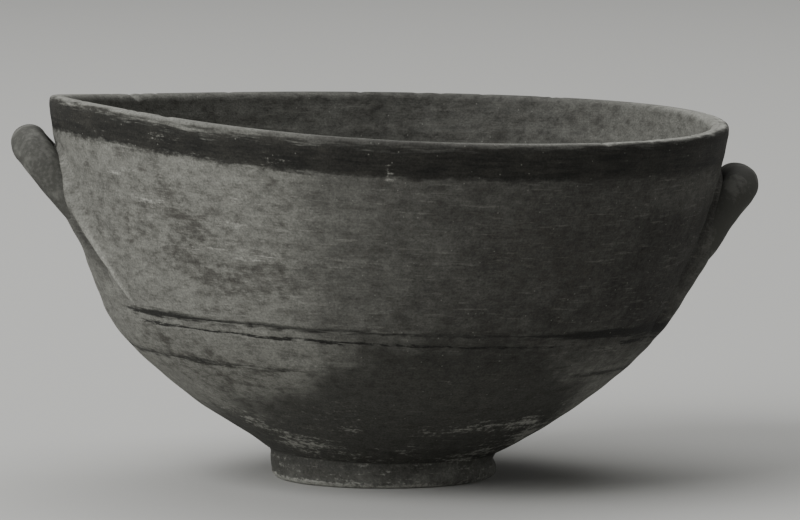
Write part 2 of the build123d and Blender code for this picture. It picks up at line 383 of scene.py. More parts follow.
def write_notes(mesh, points, from_lip, zone_top=None, rubbed=None, smoke_and_shade=0.0, pale=0.0):
    """Stores the painter's notes on a mesh, from its points on the unwarped wall in mm.

    Smoke and painted shade, and pale, add to the wall's own; a zone's top or rubbing
    replaces it.
    """
    x, y, z = points.T
    angle, radius = np.degrees(np.arctan2(x, -y)), np.hypot(x, y)
    outside = from_lip <= 0

    def around(angles, values):
        return np.interp(angle, angles, values, period=360)

    if zone_top is None:
        zone_top = np.minimum(around(ZONE_ANGLES, ZONE_TOP), ZONE_AT_BASE + ZONE_GROWTH * z)
    if rubbed is None:
        rubbed = spots(angle, z, radius, RUBBED) * outside
    # Painted bounce light: smoke and shade thin out towards the foot
    higher_up = SMOKE_AND_SHADE_AT_FOOT + (1 - SMOKE_AND_SHADE_AT_FOOT) * rise(z, 20, 42)
    smoke_and_shade = smoke_and_shade + around(SMOKE_AND_SHADE_ANGLES, SMOKE_AND_SHADE) * higher_up
    for level, tall, at, wide, strength in SMOKE_MARKS:
        smoke_and_shade = smoke_and_shade + strength * hump(from_lip, level, tall) * hump(angle, at, wide)
    crest = around(LIP_ANGLES, CREST_PALE) * hump(from_lip, -0.9, 1.4)
    wash = around(LIP_ANGLES, WASH_AND_PAINTED_LIGHT) - WASH_ON_FLOOR
    lines = (THICK_LINE, THIN_LINE, LOW_LINE)
    notes = {
        "clay_mm": points.T,
        "painted_edges": [
            from_lip + BAND_WIDTH + BAND_WIDER * np.cos(np.radians(angle)),
            -from_lip - around(LIP_ANGLES, BAND_TOP),
            np.where(outside, zone_top - z, NO_ZONE),
        ],
        "line_widths": [
            np.where(outside, around(LINE_ANGLES, widths), NO_LINE) for widths in lines
        ],
        "wear": [
            rubbed, spots(angle, z, radius, STAINED) * outside,
            from_lip - around(LIP_ANGLES, WASH_START),
        ],
        "tone": [smoke_and_shade * outside, crest + pale, WASH_ON_FLOOR + wash * rise(radius, 20, 60)],
    }
    for name, columns in notes.items():
        rows = np.stack(columns, axis=1).astype(np.float32)
        note = mesh.attributes.new(name, "FLOAT_VECTOR", "POINT")
        note.data.foreach_set("vector", rows.ravel())


front = np.array([[0.0, -70.0, 50.0]])
print("stains halfway up the front:", spots(0.0, front[:, 2], 70.0, STAINED).round(2))

# %% [markdown]
# Three small functions take a bmesh to a finished object: one makes the object and
# smooths its shading, one reads its points as an array, and one puts moved points back
# through a placing matrix. The object itself stays at the origin, unturned.

# %% Make an object from a bmesh
def mesh_points(mesh):
    """The mesh's vertices as an array."""
    points = np.empty(3 * len(mesh.vertices), np.float32)
    mesh.vertices.foreach_get("co", points)
    return points.reshape(-1, 3).astype(float)


def set_points(mesh, points, place):
    """Puts an array back on the mesh's vertices, through a placing matrix."""
    turned = np.array(place)[:3, :3] @ points.T + np.array(place)[:3, 3:]
    mesh.vertices.foreach_set("co", np.ascontiguousarray(turned.T, np.float32).ravel())
    mesh.update()


def piece_from(bm, name):
    """Makes a smooth-shaded object and frees the bmesh."""
    mesh = bpy.data.meshes.new(name)
    bm.to_mesh(mesh)
    bm.free()
    mesh.shade_smooth()
    piece = bpy.data.objects.new(name, mesh)
    bpy.context.collection.objects.link(piece)
    return piece


thrown_bowl = piece_from(bowl, "thrown_bowl")
from_lip = np.empty(len(thrown_bowl.data.vertices), np.float32)
thrown_bowl.data.attributes["from_lip"].data.foreach_get("value", from_lip)
turned_points = mesh_points(thrown_bowl.data)
write_notes(thrown_bowl.data, turned_points, from_lip)
set_points(thrown_bowl.data, hand_made(turned_points, from_lip), leaning)
print("bowl box in mm:", in_mm(thrown_bowl.dimensions))

# %% [markdown]
# ## The rolled handles
# Each handle is a rolled coil of clay, bent to a loop and pressed on with both ends sunk
# in the wall. The coil is a circle that is extruded straight along each run and spun
# round each bend, which is what the fingers did too. Its corners repeat the solid
# model's: a sunk end, a root just under the wall, and the loop's two top corners.

# %% Find the handle's corners
COIL_RADIUS = 4.4
LOOP_HALF_WIDTH, LOOP_ROUND = 12.0, 10.5
ROOT_HALF_SPAN, ROOT_BEND, ROOT_SINK, ROOT_DEPTH = 20.5, 6.0, 4.8, 12.0
# The way a handle faces, its loop's height, its gap to the wall and its roots' height;
# then for its smears: extra clay on the root (height and thickness), how strong the
# finger's ridge is, how far the arms are drawn in, how far above the root they come out
# of the smear, and how dark their arms are: below zero, painted light lifts the right
# arm's shaded side
HANDLES = {
    "left": {
        "facing": math.pi, "top": BOWL_HEIGHT - 11.3, "standoff": 2.1, "root": 50.5,
        "wad": (43.5, 0.8), "ridge": 1.0, "slim": 0.0, "merge": 1.5, "tone": 0.15,
    },
    "right": {
        "facing": 0.0, "top": BOWL_HEIGHT - 13.8, "standoff": 0.8, "root": 38.3,
        "wad": (41.8, 0.2), "ridge": 0.0, "slim": 1.0, "merge": 10.5, "tone": -0.15,
    },
}


def arc_circle(start, end, bulge):
    """Centre radius, centre height and radius of the arc that swells by bulge."""
    run, climb = end[0] - start[0], end[1] - start[1]
    chord = math.hypot(run, climb)
    radius = (chord**2 / 4 + bulge**2) / (2 * bulge)
    back = (radius - bulge) / chord
    return (start[0] + end[0]) / 2 - back * climb, (start[1] + end[1]) / 2 + back * run, radius


def wall_at(height):
    """Outer radius of the upper wall at a height, and its outward direction (out, up)."""
    centre_r, centre_h, radius = arc_circle(OUTER_SHOULDER, OUTER_LIP, UPPER_BULGE)
    wall = centre_r + np.sqrt(radius**2 - (height - centre_h) ** 2)
    return wall, (wall - centre_r) / radius, (height - centre_h) / radius


def root_point(height, side, depth):
    """A point of a handle's root, some depth inside the wall."""
    wall, out, up = wall_at(height)
    turn = side * math.asin(ROOT_HALF_SPAN / wall)
    sunk = wall - depth * out
    return Vector((sunk * math.cos(turn), sunk * math.sin(turn), height - depth * up))


def coil_corners(top, standoff, root):
    """Corners of a coil's middle line, for a handle on the +X side."""
    reach = wall_at(top)[0] + standoff + COIL_RADIUS
    loop = [Vector((reach, side * LOOP_HALF_WIDTH, top)) for side in (-1, 1)]
    near = [root_point(root, -1, depth) for depth in (ROOT_DEPTH, ROOT_SINK)]
    far = [root_point(root, 1, depth) for depth in (ROOT_SINK, ROOT_DEPTH)]
    return near + loop + far


for name, h in HANDLES.items():
    h["corners"] = coil_corners(h["top"], h["standoff"], h["root"])
    print(name, "handle reaches", round(h["corners"][2].x + COIL_RADIUS, 1), "mm from the axis")

# %% [markdown]
# The circle starts on the sunk end, square to the first run. Each straight run is cut
# into short steps, so that the coil can be dented afterwards, and each bend is a spin
# about the axis that stands square to both runs. The ends are filled, although the wall
# hides them, because a closed mesh behaves better everywhere.

# %% Extrude and spin the coils
COIL_SIDES, COIL_STRIDE = 40, 1.0


def edges_of(geometry):
    """The edges among some bmesh geometry."""
    return [part for part in geometry if isinstance(part, bmesh.types.BMEdge)]


def pushed_on(bm, ring, shift):
    """Extrudes a coil's open ring by a shift, and gives the new open ring."""
    ring = edges_of(bmesh.ops.extrude_edge_only(bm, edges=ring)["geom"])
    ring = [e for e in ring if e.is_boundary and all(len(v.link_edges) == 3 for v in e.verts)]
    bmesh.ops.translate(bm, verts=list({v for e in ring for v in e.verts}), vec=shift)
    return ring


def coil_along(corners, rounds):
    """A closed coil of clay along corners, each rounded by its own radius, and its line."""
    bm = bmesh.new()
    heading = (corners[1] - corners[0]).normalized()
    square = heading.to_track_quat("Z", "Y").to_matrix().to_4x4()
    bmesh.ops.create_circle(
        bm, cap_ends=False, radius=COIL_RADIUS, segments=COIL_SIDES,
        matrix=Matrix.Translation(corners[0]) @ square,
    )
    ring, here, line = bm.edges[:], corners[0].copy(), [corners[0].copy()]
    for i, corner in enumerate(corners[1:], 1):
        last = i == len(corners) - 1
        turn = 0 if last else heading.angle(corners[i + 1] - corner)
        spare = 0 if last else rounds[i - 1] * math.tan(turn / 2)
        length = (corner - here).length - spare
        steps = max(1, round(length / COIL_STRIDE))
        for _ in range(steps):
            ring = pushed_on(bm, ring, heading * length / steps)
            here = here + heading * length / steps
            line.append(here.copy())
        if last:
            break
        ahead = (corners[i + 1] - corner).normalized()
        axis = heading.cross(ahead).normalized()
        centre = corner + (ahead - heading).normalized() * rounds[i - 1] / math.cos(turn / 2)
        steps = max(3, round(turn * (rounds[i - 1] + COIL_RADIUS) / COIL_STRIDE))
        arc = bmesh.ops.spin(bm, geom=ring, cent=centre, axis=axis, angle=turn, steps=steps)
        ring = edges_of(arc["geom_last"])
        for k in range(1, steps + 1):
            line.append(centre + Matrix.Rotation(turn * k / steps, 3, axis) @ (here - centre))
        here, heading = line[-1], ahead
    bmesh.ops.holes_fill(bm, edges=[e for e in bm.edges if e.is_boundary], sides=0)
    bmesh.ops.recalc_face_normals(bm, faces=bm.faces)
    return bm, np.array(line)


rounds = [ROOT_BEND, LOOP_ROUND, LOOP_ROUND, ROOT_BEND]
for name, h in HANDLES.items():
    h["coil"], h["line"] = coil_along(h["corners"], rounds)
    misses = [round(c, 2) for c in h["line"][-1] - np.array(h["corners"][-1])]
    print(name, "coil faces:", len(h["coil"].faces), "end misses its corner by", misses)

# %% [markdown]
# A coil rolled under the palm is never quite even, so a slow noise pushes the surface in
# and out by a fraction of a millimetre. The noise has a fixed seed, or every run would
# dent the coils anew. The right handle's arms are drawn in to the wall. The sunk ends
# were pressed flat in the wall: no point of the coil may lie deeper than the wall is
# thick, or it would show inside.

# %% Dent the coils and set them in place
noise.seed_set(5)
# How far the noise pushes and the size of its waves, both in mm, and its finer share
COIL_DENTS = (0.35, 11)
FINER, FINER_SHARE = 0.35, 0.4
# Where arms are drawn in: height and half-height in mm, and share of the whole pull
ARM_PULLS = ((64, 5, 1.0), (47, 8, 0.8))
TOP_LIFT = 0.35
END_DEPTH = 1.8


def dented(points, amount, size):
    """Pushes points along a smooth random field, in mm."""
    field = [
        noise.noise_vector(Vector(p) / size)
        + FINER_SHARE * noise.noise_vector(Vector(p) / (FINER * size))
        for p in points
    ]
    return points + amount * np.array(field)


def drawn_in(points, amount):
    """Pulls the arms of a handle on the +X side closer to the wall, and lifts its top."""
    x, y, z = points.T
    pull = sum(share * hump(z, height, half) for height, half, share in ARM_PULLS)
    return np.stack([x - amount * pull, y, z + TOP_LIFT * amount * rise(z, 70, 76)], axis=1)


def stopped_in_wall(points):
    """Flattens the sunk ends of a coil, so that they stop inside the wall's thickness."""
    wall, out, _ = wall_at(np.clip(points[:, 2], SHOULDER_HEIGHT, BOWL_HEIGHT))
    radius = np.hypot(points[:, 0], points[:, 1])
    kept = np.maximum(radius, wall - END_DEPTH / out)
    return points * np.stack([kept / radius, kept / radius, np.ones_like(radius)], axis=1)


for name, h in HANDLES.items():
    turn = np.array(Matrix.Rotation(h["facing"], 3, "Z"))
    handle = piece_from(h["coil"], f"rolled_{name}_handle")
    placed = stopped_in_wall(drawn_in(mesh_points(handle.data), h["slim"])) @ turn.T
    h["line"] = drawn_in(h["line"], h["slim"]) @ turn.T
    write_notes(handle.data, placed, np.full(len(placed), FAR_BELOW_LIP))
    set_points(handle.data, dented(placed, *COIL_DENTS), leaning)
    h["handle"] = handle
    print(handle.name, "box in mm:", in_mm(handle.dimensions))

# %% [markdown]
# ## The luting
# Soft clay was smeared where coil and wall meet, thin along the arms and thick over the
# roots, and wiped smooth with a finger. Each smear is a grid laid on the wall, front and
# back of each handle. Its height comes from a smooth union: where two surfaces would
# meet in a crease, the union fills the crease with a hollow curve, as a finger does.

# %% Join two surfaces smoothly
SEARCH_STEP, SEARCH_END = 0.2, 6.0


def smooth_union(a, b, blend):
    """Joins two distances with a hollow curve that is about blend wide."""
    t = np.clip(0.5 + 0.5 * (b - a) / blend, 0, 1)
    return b + (a - b) * t - blend * t * (1 - t)


def wiped_height(flat, direction, line, blend, sunk):
    """How far a wiped joint stands out of the wall, searched outwards step by step."""
    thick = np.zeros(len(flat))
    inside = np.ones(len(flat), bool)
    before = np.full(len(flat), -1e-6)
    for level in np.arange(SEARCH_STEP, SEARCH_END, SEARCH_STEP):
        spot = flat + direction * level
        to_line = np.linalg.norm(spot[:, None, :] - line[None, ::2, :], axis=2)
        to_coil = np.min(to_line, axis=1) - COIL_RADIUS
        now = smooth_union(np.full(len(flat), level), to_coil + sunk, blend)
        leaves = inside & (now > 0)
        thick[leaves] = level - SEARCH_STEP * now[leaves] / (now[leaves] - before[leaves])
        inside &= now <= 0
        before = now
    thick[inside] = SEARCH_END
    return thick


joined = smooth_union(np.array([1.0]), np.array([1.0]), 6.0)[0]
print("two faces 1 mm away, joined:", joined)

# %% [markdown]
# A smear's form changes with the height above the root: wide and thick below, narrow and
# thin along the arm. On the left handle the finger left a ridge along the smear's outer
# edge, with a groove beside it, that runs on below the arm.

# %% Shape a smear
# Lowest and highest level in mm, and where it starts and how far it goes in degrees
SMEAR_LOW, SMEAR_HIGH = 29.0, 77.0
SMEAR_START, SMEAR_SPAN = 0.3, 33.0
# Height above the place where the arm comes out, and there the hollow's width, how far
# the clay stays below the coil's surface, and how thick it may be, in mm
BLEND = ((-4, 8, 20, 30), (7.5, 6.5, 3.5, 1.5))
SINK = ((4, 12), (-0.4, 0.25))
MOST = ((4, 10, 16, 26, 34), (5.5, 4.0, 2.4, 1.2, 0.4))
# Heights in mm, the ridge's distance from the handle's middle, and how far it stands out
RIDGE_HEIGHTS = (34, 38, 41, 46, 53, 58, 64, 70, 75)
RIDGE_AWAY = (37, 34.5, 32.5, 29, 25.7, 23, 20, 18, 17)
RIDGE_STANDS = (0, 0.3, 0.7, 1.0, 1.2, 1.1, 0.9, 0.6, 0.0)
RIDGE_WIDTH = 1.5
GROOVE_BESIDE, GROOVE_WIDTH, GROOVE_DEPTH = -2.6, 1.2, 0.5
WAD_LENGTH, WAD_HEIGHT = 7.0, 6.0


def on_wall(h, side, u, v):
    """Lays a grid's points on the wall beside a handle.

    Gives their heights, distances from the handle's middle, places and outward directions.
    """
    height = SMEAR_LOW + (SMEAR_HIGH - SMEAR_LOW) * v
    turn = h["facing"] + side * np.radians(SMEAR_START + SMEAR_SPAN * u)
    wall = np.interp(height, *outer_wall.T)
    slope = np.interp(height + 0.5, *outer_wall.T) - np.interp(height - 0.5, *outer_wall.T)
    out, up = 1 / np.hypot(1, slope), -slope / np.hypot(1, slope)
    direction = np.stack([out * np.cos(turn), out * np.sin(turn), up], axis=1)
    flat = np.stack([wall * np.cos(turn), wall * np.sin(turn), height], axis=1)
    return height, wall * side * (turn - h["facing"]), flat, direction


def smear_form(h, height, away, flat, direction):
    """A smear's thickness in mm, its ridge's part of it, and the distance to the ridge."""
    above_root = height - h["root"] - h["merge"]
    blend, sunk, most = (np.interp(above_root, *table) for table in (BLEND, SINK, MOST))
    thick = np.minimum(wiped_height(flat, direction, h["line"], blend, sunk), most)
    beside = away - np.interp(height, RIDGE_HEIGHTS, RIDGE_AWAY)
    stands = h["ridge"] * np.interp(height, RIDGE_HEIGHTS, RIDGE_STANDS)
    ridge = stands * hump(beside, 0, RIDGE_WIDTH)
    groove = GROOVE_DEPTH * stands * hump(beside, GROOVE_BESIDE, GROOVE_WIDTH)
    level, extra = h["wad"]
    wad = extra * hump(away, ROOT_HALF_SPAN, WAD_LENGTH) * hump(height, level, WAD_HEIGHT)
    return thick + ridge - groove + wad, ridge, beside


print("smears reach from", SMEAR_LOW, "to", SMEAR_HIGH, "mm above the bowl's base")

# %% [markdown]
# A smear is painted as the wall beside it is, with a few notes of its own. The arm is
# darker on the left handle and lifted by painted light on the right one, a soft strip of
# painted shade lies beside the left handle's ridge, and the ridge's crest is paler, partly
# as a painted highlight. Along the right handle, painted shade darkens the crease where the
# arm leaves the wall.

# %% Note a smear's tones
LIP_ALONG_WALL = 90
# How much the left arm darkens towards the coil, and the strip's painted shade
ARM_DUSK, STRIP_SHADE = 0.14, 0.42
STRIP_BESIDE, STRIP_WIDTH = -2.9, 2.4
# Heights in mm between which the strip begins, and between which strip and crest fade
STRIP_BEGINS, FADES = (35, 42), (52, 64)
# How far the smear stays below the dark zone, and the slip of painted shade in the crease
CLEAR_OF_ZONE, CREASE_SHADE = 12, 19


def note_smear(mesh, h, height, flat, thick, ridge, beside):
    """Writes a smear's notes on its mesh."""
    on_arm = rise(-beside, 0.5, 3.0) * rise(thick, 0.2, 1.5)
    dusk = h["tone"] + ARM_DUSK * h["ridge"] * rise(height, h["root"], h["root"] + 9)
    lower = 1 - rise(height, *FADES)
    strip = lower * rise(height, *STRIP_BEGINS) * hump(beside, STRIP_BESIDE, STRIP_WIDTH)
    along_arm = rise(height, h["root"] + 14, h["root"] + 24)
    crease = (1 - h["ridge"]) * hump(thick, 0.2, 0.4) * along_arm
    # Painted shade in the strip and the crease, painted light on the right arm, and a crest paler
    # partly as a painted highlight
    write_notes(
        mesh, flat, height - LIP_ALONG_WALL,
        zone_top=height - CLEAR_OF_ZONE + CREASE_SHADE * crease,
        smoke_and_shade=STRIP_SHADE * h["ridge"] * strip + dusk * on_arm,
        pale=np.clip(1.7 * ridge - 0.5, 0, 0.8) * (0.15 + 0.85 * lower),
    )


print("strip beside the ridge in mm:", 2 * STRIP_WIDTH)

# %% [markdown]
# The smear's rim sinks under the wall all round, so no edge shows. The grid is smoothed,
# turned to face outwards and given a back by the solidify operator, so it is closed.

# %% Lay the smears on the wall
SMEAR_COLUMNS, SMEAR_ROWS = 60, 84
RIM_SHARE, RIM_SINK = 0.1, 0.35
SMEAR_DENTS = (0.05, 5)
SMEAR_PASSES, SMEAR_BACK = 6, 0.0012


def close_smear(mesh):
    """Smooths a smear, turns its faces outwards and gives it a back."""
    bm = bmesh.new()
    bm.from_mesh(mesh)
    for _ in range(SMEAR_PASSES):
        bmesh.ops.smooth_vert(
            bm, verts=bm.verts, factor=0.5, use_axis_x=True, use_axis_y=True, use_axis_z=True,
        )
    middle = leaning @ Vector((0, 0, 50))
    if sum((f.calc_center_median() - middle).dot(f.normal) for f in bm.faces) < 0:
        bmesh.ops.reverse_faces(bm, faces=bm.faces)
    bmesh.ops.solidify(bm, geom=bm.faces, thickness=SMEAR_BACK)
    bm.to_mesh(mesh)
    bm.free()
    mesh.shade_smooth()


def lay_smear(name, h, side):
    """A grid of clay on the wall beside one arm of a handle, closed by its own thickness."""
    bm = bmesh.new()
    bmesh.ops.create_grid(bm, x_segments=SMEAR_COLUMNS, y_segments=SMEAR_ROWS, size=0.5)
    bmesh.ops.translate(bm, verts=bm.verts, vec=(0.5, 0.5, 0))
    smear = piece_from(bm, name)
    u, v, _ = mesh_points(smear.data).T
    height, away, flat, direction = on_wall(h, side, u, v)
    thick, ridge, beside = smear_form(h, height, away, flat, direction)
    to_rim = np.minimum(np.minimum(u, 1 - u), np.minimum(v, 1 - v))
    thick = thick * rise(to_rim, 0, RIM_SHARE) - RIM_SINK
    note_smear(smear.data, h, height, flat, thick, ridge, beside)
    wall = hand_made(flat, np.full(len(flat), FAR_BELOW_LIP))
    set_points(smear.data, dented(wall + direction * thick[:, None], *SMEAR_DENTS), leaning)
    close_smear(smear.data)
    return smear


smears = {}
for name, h in HANDLES.items():
    to_front = 1 if h["facing"] else -1
    for where, side in (("front", to_front), ("back", -to_front)):
        node = f"{name}_handle_{where}_luting"
        smears[node] = lay_smear("smeared_" + node, h, side)
        print(smears[node].name, "faces:", len(smears[node].data.polygons))

# %% [markdown]
# ## The foot and its bed
# The foot is a separate ring, thrown or rolled, that stands level although the bowl leans.
# Its outline is spun like the bowl's, but upright. The soft clay between them was drawn
# into a hollow neck on the right, and left full on the left and in front, where a skin of
# it runs down over the foot. So the bed's outer edge is moved with the angle after the
# spin.

# %% Spin the foot and the bed
FOOT_RADIUS, FOOT_NECK, FOOT_INNER = 27.3, 26.6, 20.5
RING_CUTS, RING_PASSES, RING_STEPS = 7, 6, 240


def ring_from(name, outline):
    """Smooths a closed outline of (radius, height) points and spins it to a ring."""
    bm = bmesh.new()
    verts = [bm.verts.new((radius, 0, height)) for radius, height in outline]
    edges = [bm.edges.new((a, b)) for a, b in zip(verts, verts[1:] + verts[:1])]
    bmesh.ops.subdivide_edges(bm, edges=edges, cuts=RING_CUTS, use_grid_fill=False)
    for _ in range(RING_PASSES):
        bmesh.ops.smooth_vert(bm, verts=bm.verts, factor=0.5, use_axis_x=True, use_axis_z=True)
    bmesh.ops.spin(
        bm, geom=bm.verts[:] + bm.edges[:], cent=(0, 0, 0), axis=(0, 0, 1),
        angle=2 * math.pi, steps=RING_STEPS, use_merge=True,
    )
    bmesh.ops.remove_doubles(bm, verts=bm.verts, dist=MERGE_DISTANCE)
    bmesh.ops.recalc_face_normals(bm, faces=bm.faces)
    return piece_from(bm, name)


foot = ring_from("turned_ring_foot", [
    (FOOT_INNER, 2.4), (FOOT_INNER, 0.9), (FOOT_INNER + 1.0, -0.05),
    (FOOT_RADIUS - 0.8, -0.05), (FOOT_RADIUS + 0.15, 1.3), (FOOT_RADIUS, 2.6),
    (FOOT_NECK, 4.2), (FOOT_NECK - 1.0, 5.2), (23.5, 3.6),
])
bed = ring_from("wiped_foot_bed", [
    (22.0, 3.0), (FOOT_NECK - 0.4, 3.2), (FOOT_NECK - 0.1, 4.4), (FOOT_NECK + 0.8, 6.0),
    (FOOT_NECK + 1.8, 8.2), (24.0, 8.6), (22.2, 5.0),
])
print("foot faces:", len(foot.data.polygons), "bed faces:", len(bed.data.polygons))

# %% [markdown]
# The foot's lowest edge is rubbed to a chalky rim, most of all on the left. Its dark
# paint is thicker on the left and thin on the right, and its clay is paler than the wall's
# and paler still on the right: painted light, for the foot stands in the cup's shadow.

# %% Draw the bed down and note the tones
# Height of the skin of bed clay and its radius there, and how far it hangs, in mm
SKIN_HEIGHTS, SKIN_RADII, SKIN_HANGS = (3.0, 3.8, 4.6, 7.0), (26.9, 27.35, 27.6, 27.7), 2.2
RING_DENTS = (0.12, 7)
# How rubbed the foot is away from its lowest edge, and at most
RUBBED_ALL_OVER, RUBBED_MOST = 0.35, 1.4


def drawn_down(points, angle):
    """Draws the bed's outer skin out and down over the foot, except on the right."""
    radius, height = np.hypot(points[:, 0], points[:, 1]), points[:, 2]
    filled = rise(-np.sin(angle), -1.0, 0.2)
    cover = filled * rise(radius, 25.0, 26.2) * rise(-height, -7.5, -5.0)
    full = np.interp(height, SKIN_HEIGHTS, SKIN_RADII)
    across = points[:, :2] * (1 + cover * (full / radius - 1))[:, None]
    return np.column_stack([across, height - SKIN_HANGS * cover * rise(-height, -5.5, -3.4)])


for ring in (foot, bed):
    points = mesh_points(ring.data)
    points[:, 2] = np.maximum(points[:, 2], 0)
    angle = np.arctan2(points[:, 0], -points[:, 1])
    left, right = rise(-np.sin(angle), -0.2, 1), rise(np.sin(angle), -0.2, 1)
    if ring is bed:
        points = drawn_down(points, angle)
    height = points[:, 2]
    low_edge = rise(-height, -2.2, -0.4) * (0.4 + 0.6 * left) + rise(-height, -0.3, 0.0)
    # Thinner paint and paler clay on the right: painted light, where the foot is in shadow
    write_notes(
        ring.data, points, np.full(len(points), FAR_BELOW_LIP),
        zone_top=height + 0.8 + 3 * left - 1.5 * right + 4 * rise(height, 2.5, 6.5),
        rubbed=np.clip(low_edge + RUBBED_ALL_OVER, 0, RUBBED_MOST),
        smoke_and_shade=-0.15 - 0.4 * right,
    )
    pushed = dented(points, *RING_DENTS)
    set_points(ring.data, np.column_stack([pushed[:, :2], height]), to_metres)
    print(ring.name, "box in mm:", in_mm(ring.dimensions))

# %% [markdown]
# ## Colours and nodes
# Only the lights and darks of this cup are known, not its hues, so its finishes are nearly
# neutral greys, a touch warm. Hex colours are sRGB, but shaders work in linear light, so
# one function converts them. One other function adds a node, sets it and links it.

# %% Define the two helpers
def linear(code):
    """A linear RGBA colour from an sRGB hex code."""
    parts = [int(code[i : i + 2], 16) / 255 for i in (1, 3, 5)]
    return [c / 12.92 if c <= 0.04045 else ((c + 0.055) / 1.055) ** 2.4 for c in parts] + [1.0]


def add(tree, kind, inputs, **settings):
    """Adds a shader node, sets its properties, and fills its inputs with values or links."""
    node = tree.nodes.new("ShaderNode" + kind)
    for key, value in settings.items():
        setattr(node, key, value)
    for key, value in inputs.items():
        if isinstance(value, bpy.types.NodeSocket):
            tree.links.new(value, node.inputs[key])
        else:
            node.inputs[key].default_value = value
    return node


print("middle grey in linear light:", round(linear("#808080")[0], 3))

# %% [markdown]
# ## Painted fired clay
# The body is earthenware: low-fired clay, matt and slightly gritty, wiped on the wheel, so
# it shows fine level streaks. The paint is a thin clay slip that fired dark with a faint
# sheen. It was brushed on while the cup turned, so it is streaky, and it has flaked in
# level patches. The material mixes the two by a mask that is built from the notes.

# %% Start the painted clay
painted = bpy.data.materials.new("slip_painted_earthenware")
painted.use_nodes = True
tree = painted.node_tree
surface = tree.nodes["Principled BSDF"]

place = add(tree, "Attribute", {}, attribute_name="clay_mm").outputs["Vector"]
height = add(tree, "SeparateXYZ", {0: place}).outputs["Z"]
notes = {}
for name in ("painted_edges", "line_widths", "wear", "tone"):
    note = add(tree, "Attribute", {}, attribute_name=name).outputs["Vector"]
    notes[name] = add(tree, "SeparateXYZ", {0: note}).outputs
band_low, band_top, zone_depth = notes["painted_edges"]
rubbed, stained, within = notes["wear"]
smoke_and_shade, pale_note, wash_note = notes["tone"]

# Sizes in mm along and across the wheel's turn, and how rich in detail each pattern is
patterns = {}
for name, along, across, detail in (
    ("streak", 9.0, 0.9, 4.0), ("cloud", 8.0, 8.0, 5.0), ("mottle", 3.4, 2.0, 4.0),
    ("fleck", 1.3, 0.9, 3.0), ("grit", 0.5, 0.5, 2.0),
):
    size = (1 / along, 1 / along, 1 / across)
    scaled = add(tree, "VectorMath", {0: place, 1: size}, operation="MULTIPLY").outputs[0]
    patterns[name] = add(
        tree, "TexNoise", {"Vector": scaled, "Scale": 1.0, "Detail": detail, "Roughness": 0.65},
    ).outputs[0]
streak, cloud, mottle, fleck, grit = patterns.values()
print("patterns:", list(patterns))

# %% [markdown]
# Each painted part is a mask from 0 to 1. The band and the dark zone above the foot both
# start as a distance to an edge in millimetres. Noise shifts that distance, which makes
# the edge wander, and a smooth step turns it into a mask.

# %% Mask the band and the zone
wander = add(tree, "Math", {0: streak, 1: 2.0, 2: -1.0}, operation="MULTIPLY_ADD").outputs[0]
fringe = add(tree, "Math", {0: wander, 1: 1.3}, operation="SUBTRACT").outputs[0]
for pattern, reach in ((mottle, 1.4), (fleck, 1.2)):
    total = add(tree, "Math", {0: pattern, 1: reach, 2: fringe}, operation="MULTIPLY_ADD")
    fringe = total.outputs[0]
ragged = add(tree, "Math", {0: cloud, 1: 14.0, 2: -7.0}, operation="MULTIPLY_ADD").outputs[0]
ragged = add(tree, "Math", {0: fringe, 1: 2.0, 2: ragged}, operation="MULTIPLY_ADD").outputs[0]
brushy = add(tree, "Math", {0: fringe, 1: 1.6}, operation="MULTIPLY").outputs[0]
streaky = add(tree, "Math", {0: wander, 1: 3.0, 2: fringe}, operation="MULTIPLY_ADD").outputs[0]

# Each edge with its own raggedness, how soft it is in mm, and how well the paint covers
masks = []
for distance, shift, soft, most in (
    (band_low, brushy, 0.9, 0.97), (band_top, streaky, 1.2, 1.0), (zone_depth, ragged, 5.0, 0.72),
):
    moved = add(tree, "Math", {0: distance, 1: shift}, operation="ADD").outputs[0]
    masks.append(add(
        tree, "MapRange", {0: moved, 1: -soft, 2: soft, 4: most}, interpolation_type="SMOOTHSTEP",
    ).outputs[0])
band = add(tree, "Math", {0: masks[0], 1: masks[1]}, operation="MULTIPLY").outputs[0]
paint = add(tree, "Math", {0: band, 1: masks[2]}, operation="MAXIMUM").outputs[0]
print("nodes so far:", len(tree.nodes))

# %% [markdown]
# A brush line is what lies closer to its height than its half-width. The brush wavered,
# so noise moves the line up and down as well as fraying its edge.

# %% Draw the brush lines
# From the top: height in mm, how far the line wavers, and how soft its edge is
BRUSH_LINES = ((38.6, 1.6, 0.7), (36.0, 1.7, 0.2), (27.8, 1.8, 0.6))
LINE_FRAY, LINE_COVERS = 0.4, 0.92

strokes = []
for width, (level, wavers, soft) in zip(notes["line_widths"], BRUSH_LINES):
    bent = add(tree, "Math", {0: wander, 1: wavers, 2: -level}, operation="MULTIPLY_ADD").outputs[0]
    offset = add(tree, "Math", {0: height, 1: bent}, operation="ADD").outputs[0]
    offset = add(tree, "Math", {0: offset}, operation="ABSOLUTE").outputs[0]
    inside = add(tree, "Math", {0: width, 1: offset}, operation="SUBTRACT").outputs[0]
    frayed = add(tree, "Math", {0: fringe, 1: LINE_FRAY, 2: inside}, operation="MULTIPLY_ADD")
    stroke = add(
        tree, "MapRange", {0: frayed.outputs[0], 1: -soft, 2: 0.6 * soft, 4: LINE_COVERS},
        interpolation_type="SMOOTHSTEP",
    ).outputs[0]
    paint = add(tree, "Math", {0: paint, 1: stroke}, operation="MAXIMUM").outputs[0]
    strokes.append(stroke)
print("strokes:", len(strokes), "nodes so far:", len(tree.nodes))

# %% [markdown]
# Wear takes the paint off again: a little everywhere along the streaks, and much more in
# the rubbed places. Inside, the whole wall has a thinner wash that starts under the lip.

